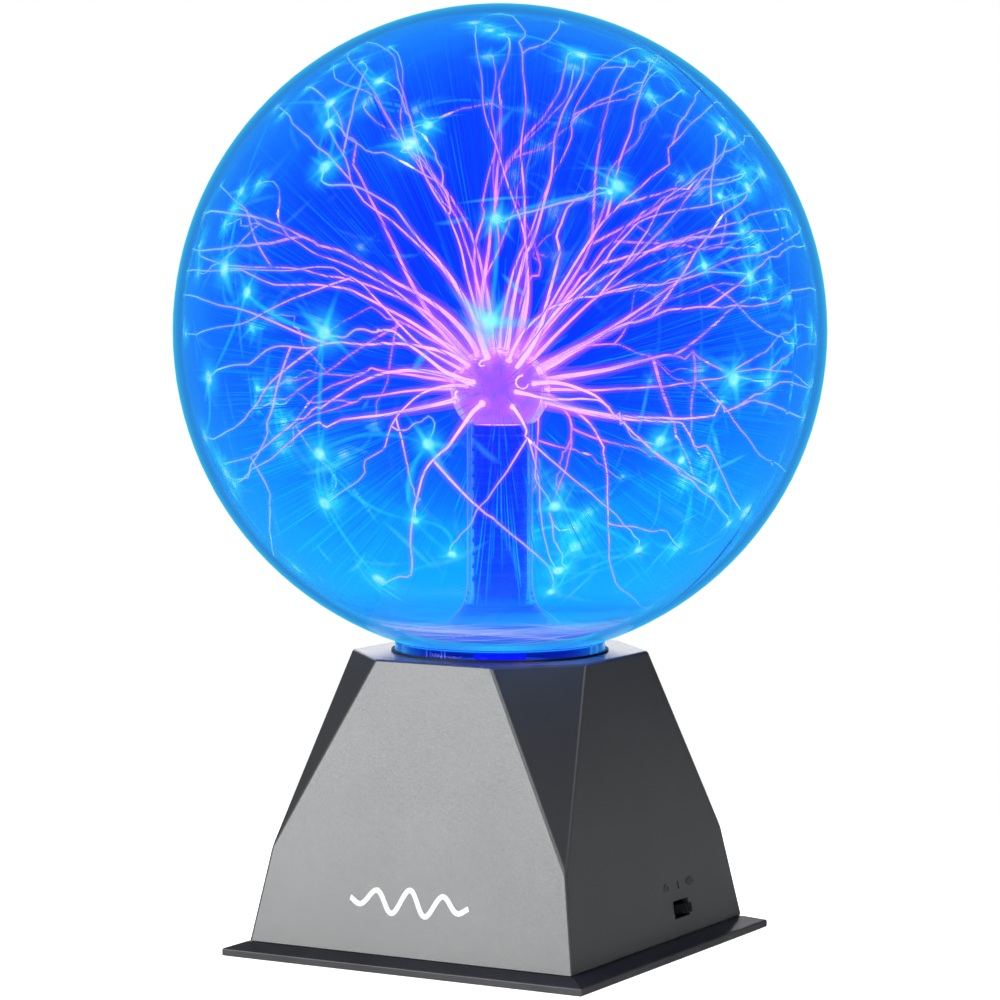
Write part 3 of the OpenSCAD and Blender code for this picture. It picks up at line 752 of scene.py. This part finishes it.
def arc(start, end, bend, count):
    """A path along the glass from one point to another, bowed to one side."""
    side = np.cross(unit(end - start), unit(start - globe_mid))
    steps = np.linspace(0, 1, count)
    return np.array([start + (end - start) * t + side * bend * 4 * t * (1 - t) for t in steps])


def star_pieces(plasma):
    """Soft star-bursts where the filaments touch the glass, and strokes that link them."""
    rng = plasma.rng
    rays = Form()
    cores = Form()
    halos = Form()
    places = [c for c, size in plasma.contacts]
    for contact, size in plasma.contacts:
        lift = globe_in - rng.uniform(0.0005, 0.0009)
        side, other = across(unit(contact - globe_mid))
        first = rng.uniform(0, 2 * math.pi)
        count = rng.integers(2, 6)
        for k in range(count):
            angle = first + 2 * math.pi * (k + rng.uniform(-0.3, 0.3)) / count
            along = math.cos(angle) * side + math.sin(angle) * other
            length = size * rng.uniform(0.004, 0.018)
            path = arc(contact, contact + along * length, length * 0.03 * rng.normal(), 9)
            steps = np.linspace(0, 1, 9)
            widths = size * rng.uniform(0.0010, 0.0020) * (1 - 0.45 * steps)
            rays.brush(path, widths, [ramp(STAR, t) for t in steps], lift)
        near = sorted(places, key=lambda p: np.linalg.norm(p - contact))[1:3]
        for other_place in near:
            if rng.uniform() < 0.60 and np.linalg.norm(other_place - contact) < LONGEST_LINK:
                path = arc(contact, other_place, 0.003 * rng.normal(), 14)
                fade = np.sin(math.pi * np.linspace(0.06, 0.94, 14))
                dense = rng.uniform(0.3, 0.8)
                rays.brush(path, 0.0004 + 0.0006 * fade,
                           [(0.02, 0.62, 1.0, dense * f) for f in fade], lift - 0.0003)
        dome(cores, contact, 0.0027 * size, 4, (0.70, 1.0, 1.0), 1.0, 1.5, lift - 0.0002)
        dome(halos, contact, 0.0100 * size, 6, (0.03, 0.80, 1.0), 0.92, 2.0, lift - 0.0004)
    rays.piece("contact_stars", glow_material("contact_star", 1.15), "globe_glass")
    cores.piece("contact_cores", glow_material("contact_core", 1.7), "globe_glass")
    halos.piece("contact_halos", glow_material("contact_halo", 1.0), "globe_glass")


def brush_pieces(plasma):
    """Soft cyan strokes on the glass, near the contacts and loose between them."""
    rng = plasma.rng
    strokes = Form()
    lift = globe_in - STROKE_GAP
    places = [c for c, size in plasma.contacts for k in range(2)]
    places += [globe_mid + d * globe_in for d in spiral(150) if d[2] > LOWEST_STROKE]
    for place in places:
        normal = unit(place - globe_mid)
        side, other = across(normal)
        angle = rng.uniform(0, 2 * math.pi)
        along = math.cos(angle) * side + math.sin(angle) * other
        bend = np.cross(normal, along) * rng.normal() * 0.045
        length = rng.uniform(0.006, 0.028)
        offset = 0.004 * (rng.normal() * side + rng.normal() * other)
        steps = np.linspace(-0.5, 0.5, 11)
        path = np.array([place + offset + along * length * t + bend * length * 4 * t * t
                         for t in steps])
        width = rng.uniform(0.0004, 0.0016)
        fade = 1 - (2 * steps) ** 2
        low = 0.5 - 0.5 * normal[2]
        dense = rng.uniform(0.12, 0.60) * (0.45 + 0.8 * low)
        tone = rng.uniform(0.30, 0.85)
        shades = [(0.02 + 0.1 * tone * f, tone, 1.0, dense * f) for f in fade]
        strokes.brush(path, width * (0.4 + 0.6 * fade), shades, lift)
    strokes.piece("contact_strokes", glow_material("contact_stroke", 1.05), "globe_glass")


def streak_pieces(plasma):
    """Hundreds of faint straight rays of blue from the electrode out to the glass."""
    rng = plasma.rng
    rays = Form()
    for d in spiral(1900):
        aim = unit(d + 0.05 * rng.normal(size=3))
        if aim[2] < LOWEST_BRANCH:
            continue
        contact = globe_mid + aim * (globe_in - rng.uniform(0.001, 0.012))
        out = unit(contact - bulb_mid)
        first = rng.uniform(0.018, 0.055)
        span = np.linalg.norm(contact - bulb_mid) - first
        steps = np.linspace(0, 1, 6)
        path = np.array([bulb_mid + out * (first + span * t) for t in steps])
        low = 0.5 - 0.5 * aim[2]
        tone = rng.uniform(0.02, 0.24) + rng.uniform(0.30, 0.75) * low * low
        dense = rng.uniform(0.14, 0.60)
        shades = [(0.004, tone * t, 1.0, dense * min(1.0, 2.2 * t) * (1.15 - 0.9 * t ** 6))
                  for t in steps]
        radii = rng.uniform(0.00008, 0.00030) * (0.25 + 0.75 * steps)
        rays.tube(path, radii, shades, 4)
    rays.piece("gas_streaks", glow_material("gas_streak", 1.0), "globe_glass")


def electrode_pieces(plasma):
    """Hot spots where bundles leave the electrode, and the pink haze round it."""
    rng = plasma.rng
    spots = Form()
    for start, root in plasma.roots:
        reach = rng.uniform(0.0008, 0.0016)
        steps = np.linspace(0, 1, 5)
        path = np.array([start + root * reach * t for t in steps])
        radii = rng.uniform(0.00065, 0.00120) * (1 - steps) ** 0.7 + 0.0001
        shades = [(1.0, 0.90 - 0.25 * t, 1.0, 1.0 - 0.5 * t) for t in steps]
        spots.tube(path, radii, shades, 8)
    for k, d in enumerate(spiral(13)):
        if d[2] < -0.4:
            continue
        side, other = across(unit(d + 0.2 * rng.normal(size=3)))
        curl = rng.uniform(0.10, 0.22)
        turns = np.linspace(0, rng.uniform(2.5, 4.5), 9)
        path = np.array([
            bulb_point(unit(d + curl * (1 - 0.12 * a) * (math.cos(a) * side + math.sin(a) * other)),
                       0.0005)
            for a in turns])
        radii = 0.00034 * (1 - 0.6 * np.linspace(0, 1, 9))
        spots.tube(path, radii, [(1.0, 0.92, 1.0, 1.0)] * 9, 6)
    spots.piece("electrode_hot_spots", glow_material("electrode_hot", 1.4), "bulb_coating")
    lowest = -44
    for name, clearance, colour, strength, density in (
            ("electrode_rim", 0.0003, (1.0, 0.62, 1.0), 120.0, 0.0),
            ("electrode_haze", 0.0030, (0.55, 0.03, 1.0), 2.0, 0.0)):
        haze = Form()
        profile = []
        for k in range(25):
            e = math.radians(lowest + (89.9 - lowest) * k / 24)
            point = bulb_point(np.array([math.cos(e), 0.0, math.sin(e)]), clearance)
            profile.append((max(point[0], 0.0001), point[2]))
        rows, shades = lathe(profile, 64, (*colour, density))
        haze.grid(rows, shades, closed=True, capped=True)
        haze.piece(name, haze_material(name, colour, strength), "bulb_coating")


def wash_material():
    """Painted light on the near glass above the neck, standing for light the glass gathers there,
    broken into long streaks.
    """
    s = Shader("neck_wash")
    paint = s.add("VertexColor", layer_name="glow")
    level = s.add("Mapping", {"Vector": s.place(), "Scale": (22.0, 22.0, 420.0)})
    streaks = s.fit(s.noise(1.0, 4.0, 0.6, level.outputs["Vector"]), 0.35, 1.1, 0.38, 0.60)
    colour = s.blend(streaks, (0.01, 0.06, 0.95), paint.outputs["Color"])
    glow = s.add("Emission", {"Color": colour, "Strength": 1.0})
    return unlit(s.veil(s.share(paint.outputs["Alpha"], s.front()), glow))


def haze_material(name, colour, strength):
    """Glowing gas with a faint painted skin, so that it also shows without its volume."""
    s = Shader(name)
    paint = s.add("VertexColor", layer_name="glow")
    skin = s.add("Emission", {"Color": paint.outputs["Color"], "Strength": 1.0})
    s.veil(paint.outputs["Alpha"], skin)
    inside = s.add("Emission", {"Color": (*colour, 1.0), "Strength": strength})
    return unlit(s.volume(inside.outputs["Emission"]))


def ball_profile(radius, first, last, count):
    """Part of a circle about the globe's middle, by elevation in degrees."""
    out = []
    for k in range(count):
        e = math.radians(first + (last - first) * k / (count - 1))
        out.append((max(radius * math.cos(e), AXIS_GAP), globe_mid[2] + radius * math.sin(e)))
    return out


def layer_profile(outer, thin, thick):
    """The closed outline of a layer by the glass, thin at the top and thicker lower down."""
    lowest = -64
    count = 90
    outside = ball_profile(outer, lowest, 90, count)
    inside = []
    for k in range(count):
        elevation = lowest + (90 - lowest) * k / (count - 1)
        low = min(1.0, max(0.0, (25 - elevation) / 80))
        depth = thin + (thick - thin) * low * low * (3 - 2 * low)
        inside.append(ball_profile(outer - depth, elevation, elevation, 2)[0])
    return outside + inside[::-1] + outside[:1]


def gas_pieces():
    """The lit gas: its far wall, its deep blue middle and the brighter layers by the glass."""
    wall_r = globe_in - WALL_GAP
    play = 0.0004
    mouth = neck_in - play
    lowest = -math.degrees(math.acos(mouth / wall_r))
    wall = Form()
    profile = [(AXIS_GAP, flare_low - play), (mouth, flare_low - play)]
    profile += ball_profile(wall_r, lowest, 90, 90)
    rows, shades = lathe(profile, 128)
    wall.grid(rows, shades, closed=True, capped=True)
    far_wall = wall.piece("gas_backdrop", backdrop_material(), "globe_glass")
    far_wall.visible_diffuse = False
    far_wall.visible_glossy = False

    middle = Form()
    middle_r = 0.074
    middle_rise = 0.014
    profile = [(r, z + middle_rise) for r, z in ball_profile(middle_r, -90, 90, 60)]
    rows, shades = lathe(profile, 96)
    middle.grid(rows, shades, closed=True, capped=True)
    middle.piece("gas_middle", gas_volume(
        "gas_middle", (0.0, 0.0, 1.0), 2.0, (0.85, 0.0, 1.0), 8.0), "globe_glass")

    for name, lift, thin, thick, colour, strength in (
            ("gas_outer_layer", 0.00008, 0.006, 0.012, (0.002, 0.60, 1.0), 1.4),
            ("gas_skin_layer", 0.00016, 0.0026, 0.0046, (0.015, 0.80, 1.0), 2.2),
            ("gas_edge_layer", 0.00024, 0.0007, 0.0013, (0.12, 0.88, 1.0), 7.0)):
        layer = Form()
        rows, shades = lathe(layer_profile(wall_r - lift, thin, thick), 128)
        layer.grid(rows, shades, closed=True)
        gas = layer.piece(name, gas_volume(name, colour, strength), "globe_glass")
        gas.visible_diffuse = False
        gas.visible_glossy = False


def neck_pieces(plasma):
    """Curved streaks of painted light, standing for the light that the glass gathers above its
    neck.
    """
    rng = plasma.rng
    swirls = Form()
    # Colours of the painted streaks
    tones = [
        (0.62, 0.55, 1.0), (0.85, 0.90, 1.0), (0.08, 0.04, 0.85),
        (0.04, 0.55, 1.0), (0.02, 0.03, 0.75),
    ]
    count = 110
    lowest = -71.5
    for k in range(count):
        elevation = lowest + 10.0 * (k / (count - 1))
        first = rng.uniform(0, 360)
        span = rng.uniform(35, 110)
        tilt = rng.normal() * 3.0
        steps = np.linspace(0, 1, 24)
        path = np.array([
            globe_mid + globe_in * turned(first + span * t, elevation + tilt * (2 * t - 1))
            for t in steps])
        fade = np.sin(math.pi * steps)
        width = rng.uniform(0.0003, 0.0013)
        dense = rng.uniform(0.25, 0.90)
        tone = tones[rng.integers(0, len(tones))]
        shades = [(*tone, dense * f) for f in fade]
        swirls.brush(path, width * (0.4 + 0.6 * fade), shades, globe_in - SWIRL_GAP)
    swirls.piece("neck_swirls", glow_material("neck_swirl", 1.0, True), "globe_glass")
    # A painted band of light on the near glass above the neck
    wash = Form()
    # Elevation, and colour with density
    bands = [
        (-71, (0.02, 0.04, 0.85, 0.95)), (-68.5, (0.07, 0.06, 1.0, 0.94)),
        (-66, (0.42, 0.38, 1.0, 0.92)), (-64, (0.60, 0.64, 1.0, 0.90)),
        (-62, (0.25, 0.58, 1.0, 0.82)), (-60, (0.02, 0.44, 1.0, 0.70)),
        (-56, (0.00, 0.38, 1.0, 0.55)), (-50, (0.00, 0.36, 1.0, 0.0)),
    ]
    wash_r = 0.0966
    profile = [ball_profile(wash_r, e, e, 2)[0] for e, colour in bands]
    rows, plain_shades = lathe(profile, 96)
    wash.grid(rows, [[colour] * 96 for e, colour in bands], closed=True)
    wash.piece("neck_wash", wash_material(), "globe_glass")
    # A painted ring of light round the neck's mouth
    ring = Form()
    turns = np.linspace(0, 360, 97)
    path = np.array([(neck_in - 0.0005) * turned(a, 0) + UP * (flare_low + 0.0022)
                     for a in turns])
    shades = [(0.03, 0.45 + 0.35 * math.sin(math.radians(3 * a)) ** 2, 1.0, 0.85) for a in turns]
    ring.tube(path, [0.00045] * len(path), shades, 6)
    ring.piece("neck_ring_glow", glow_material("neck_ring", 1.0), "globe_glass")


def stem_pieces():
    """Thin rings of painted light in the stem's wall, painted glints that show as dots down its two
    sides.
    """
    ribs = Form()
    pitch = 0.004
    first = 0.1161
    middle_r = stem_r - stem_wall / 2
    turns = np.linspace(0, 360, 49)
    for k in range(11):
        height = first + pitch * k
        path = np.array([middle_r * turned(a, 0) + UP * height for a in turns])
        ribs.tube(path, [0.00020] * len(path), [(0.20, 0.40, 1.0, 0.01)] * len(path), 6)
    # The rings are painted glints in the glass, drawn with the gas glow material
    ribs.piece("stem_rings", haze_material("stem_ring", (0.25, 0.62, 1.0), 80.0), "stem_glass")


# ---- Printed mark on the front face ----

def mark_piece():
    """A plain white wave printed on the front face: a generic mark."""
    top_half = housing_top_half()
    low_half = housing_high.y
    run = housing_high.z - housing_low.z
    lean = math.atan((low_half - top_half) / run)
    along_face = np.array([0.0, math.sin(lean), math.cos(lean)])
    outward = np.array([0.0, -math.cos(lean), math.sin(lean)])
    mark_z = 0.0215
    centre = np.array([-0.001, -low_half + (mark_z - housing_low.z) * math.tan(lean), mark_z])
    layer = 0.00005
    half_stroke = 0.0008
    half_length = 0.0205
    across_face = np.array([1.0, 0.0, 0.0])
    x = np.linspace(-half_length, half_length, 200)
    swell = np.cos(0.5 * math.pi * x / half_length) ** 0.7 + 0.12
    height = 0.0034 * swell * np.cos(3.5 * math.pi * x / half_length)
    slope = np.gradient(height, x)
    rows = []
    for place, rise, tilt in zip(x, height, slope):
        mid = centre + across_face * place + along_face * rise
        square = unit(along_face - across_face * tilt) * half_stroke
        rows.append([
            mid - square - outward * layer,
            mid + square - outward * layer,
            mid + square + outward * layer,
            mid - square + outward * layer,
        ])
    mark = Form()
    mark.grid(rows, [[(1, 1, 1, 1)] * 4 for r in rows], closed=True, capped=True)
    ink = moulded("white_ink", (0.78, 0.78, 0.78), (0.86, 0.86, 0.86), 0.5)
    return mark.piece("front_mark", ink, "label_film", smooth=False)


# ---- Studio ----

def camera():
    """The photograph's viewing angle, on the middle of the object."""
    view = turned(VIEW_AZIMUTH, VIEW_ELEVATION)
    target = np.array([0.0, 0.0, 0.1384])
    distance = 1.155
    lens = bpy.data.cameras.new("camera")
    lens.lens = 135.2
    lens.sensor_width = 36.0
    obj = bpy.data.objects.new("camera", lens)
    bpy.context.scene.collection.objects.link(obj)
    obj.location = target + view * distance
    aim(obj, target)
    bpy.context.scene.camera = obj


def aim(obj, target):
    """Turns a camera or lamp to look at a point."""
    heading = Vector(target) - obj.location
    obj.rotation_euler = heading.to_track_quat("-Z", "Y").to_euler()


def only(lamp, group):
    """Makes a lamp light only the pieces of one group."""
    lamp.light_linking.receiver_collection = group


def group_of(name, pieces):
    """A collection that names pieces for light linking."""
    group = bpy.data.collections.new(name)
    for piece in pieces:
        group.objects.link(piece)
    return group


def softbox(name, azimuth, elevation, distance, size, power):
    """A wide soft lamp aimed at the base, which the camera doesn't see."""
    data = bpy.data.lights.new(name, "AREA")
    data.shape = "RECTANGLE"
    data.size = size[0]
    data.size_y = size[1]
    data.energy = power
    obj = bpy.data.objects.new(name, data)
    bpy.context.scene.collection.objects.link(obj)
    base_mid = np.array([0.0, 0.0, 0.06])
    obj.location = turned(azimuth, elevation) * distance + base_mid
    aim(obj, base_mid)
    obj.visible_camera = False
    return obj


def lamps(floor_piece, mark):
    """Soft boxes for the base alone, two lamps for the floor, and the globe's spill."""
    lit_by_gas = ("globe", "stem_tube", "electrode", "insulator_sleeve", "fill_tip")
    solid = [o for n, o in frame["nodes"].items() if n not in lit_by_gas]
    base_parts = group_of("base_parts", solid + [mark])
    # Name, azimuth, elevation, distance, size and power
    for box in (
            ("key", -32, 16, 1.5, (0.95, 0.8), 14.6),
            ("side", 151, -2, 0.7, (0.5, 0.06), 0.030),
            ("back", -150, 12, 1.8, (1.0, 0.5), 5),
            ("front_edge", 12, 33, 1.5, (0.12, 0.12), 2.0),
            ("right_edge", 108, 34, 1.5, (0.12, 0.12), 2.0)):
        only(softbox(*box), base_parts)
    floor_only = group_of("floor_only", [floor_piece])
    feet = [frame["nodes"]["rubber_feet"]]
    for name, power, blockers in (
            ("overhead", 40, feet + [frame["nodes"]["base_plate"]]), ("fill", 76, feet)):
        overhead = softbox(name, 0, 88, 1.6, (2.2, 2.2), power)
        only(overhead, floor_only)
        overhead.light_linking.blocker_collection = group_of(name + "_blockers", blockers)
    spill_mid = np.array([0.0, 0.0, 0.099])
    spill_reach = 0.040
    for k in range(4):
        data = bpy.data.lights.new("globe_spill", "POINT")
        data.energy = 0.0085
        data.color = (1.0, 0.76, 0.86)
        data.shadow_soft_size = 0.004
        spill = bpy.data.objects.new("globe_spill", data)
        bpy.context.scene.collection.objects.link(spill)
        spill.location = turned(45 + 90 * k, 0) * spill_reach + spill_mid
        spill.visible_camera = False
        spill.visible_glossy = False
        spill.visible_transmission = False
        only(spill, base_parts)


def world():
    """White to the camera, dim to everything else, so that the object's own light shows."""
    room = bpy.data.worlds.new("room")
    bpy.context.scene.world = room
    room.use_nodes = True
    tree = room.node_tree
    tree.nodes.clear()
    out = tree.nodes.new("ShaderNodeOutputWorld")
    mix = tree.nodes.new("ShaderNodeMixShader")
    seen = tree.nodes.new("ShaderNodeLightPath")
    dim = tree.nodes.new("ShaderNodeBackground")
    dim.inputs["Color"].default_value = (0.014, 0.015, 0.016, 1.0)
    white = tree.nodes.new("ShaderNodeBackground")
    white.inputs["Color"].default_value = (1.0, 1.0, 1.0, 1.0)
    tree.links.new(seen.outputs["Is Camera Ray"], mix.inputs[0])
    tree.links.new(dim.outputs[0], mix.inputs[1])
    tree.links.new(white.outputs[0], mix.inputs[2])
    tree.links.new(mix.outputs[0], out.inputs["Surface"])


def floor():
    """A pale round floor that fades away at its edge."""
    disc = Form()
    below = -0.0001
    edge = 0.32
    fade = 0.16
    rings = [0.001, 0.08, 0.16, 0.20, 0.24, 0.28, edge]
    rows, plain_shades = lathe([(r, below) for r in rings], 64)
    shades = [[(1, 1, 1, min(1.0, (edge - r) / fade))] * 64 for r in rings]
    disc.grid(rows, shades, closed=True)
    s = Shader("floor")
    paint = s.add("VertexColor", layer_name="glow")
    grain = s.noise(90.0)
    pale = s.add("BsdfPrincipled", {
        "Base Color": s.blend(s.fit(grain, 0.0, 1.0), (0.86, 0.86, 0.86), (0.9, 0.9, 0.9)),
        "Roughness": 0.7,
    })
    clear = s.add("BsdfTransparent")
    mix = s.add("MixShader", {
        0: paint.outputs["Alpha"], 1: clear.outputs["BSDF"], 2: pale.outputs["BSDF"],
    })
    material = s.surface(mix.outputs["Shader"])
    mesh = bpy.data.meshes.new("floor")
    mesh.from_pydata(disc.vertices, [], disc.faces)
    glow = mesh.color_attributes.new("glow", "FLOAT_COLOR", "POINT")
    glow.data.foreach_set("color", np.array(disc.colours, np.float32).ravel())
    mesh.materials.append(material)
    obj = bpy.data.objects.new("floor", mesh)
    bpy.context.scene.collection.objects.link(obj)
    obj.visible_glossy = False
    obj.visible_transmission = False
    return obj


# ---- Everything, in order ----

camera()
world()
lamps(floor(), mark_piece())
bpy.context.scene.view_settings.view_transform = "Standard"
bpy.context.scene.cycles.transparent_max_bounces = 96

dress_cad()
picker = edge_picker(0.012)
round_edges("housing", picker, 0.0009)
round_edges("base_plate", picker, 0.0004)

plasma = Plasma(np.random.default_rng(SEED))
filament_pieces(plasma)
star_pieces(plasma)
brush_pieces(plasma)
streak_pieces(plasma)
electrode_pieces(plasma)
stem_pieces()
neck_pieces(plasma)
gas_pieces()
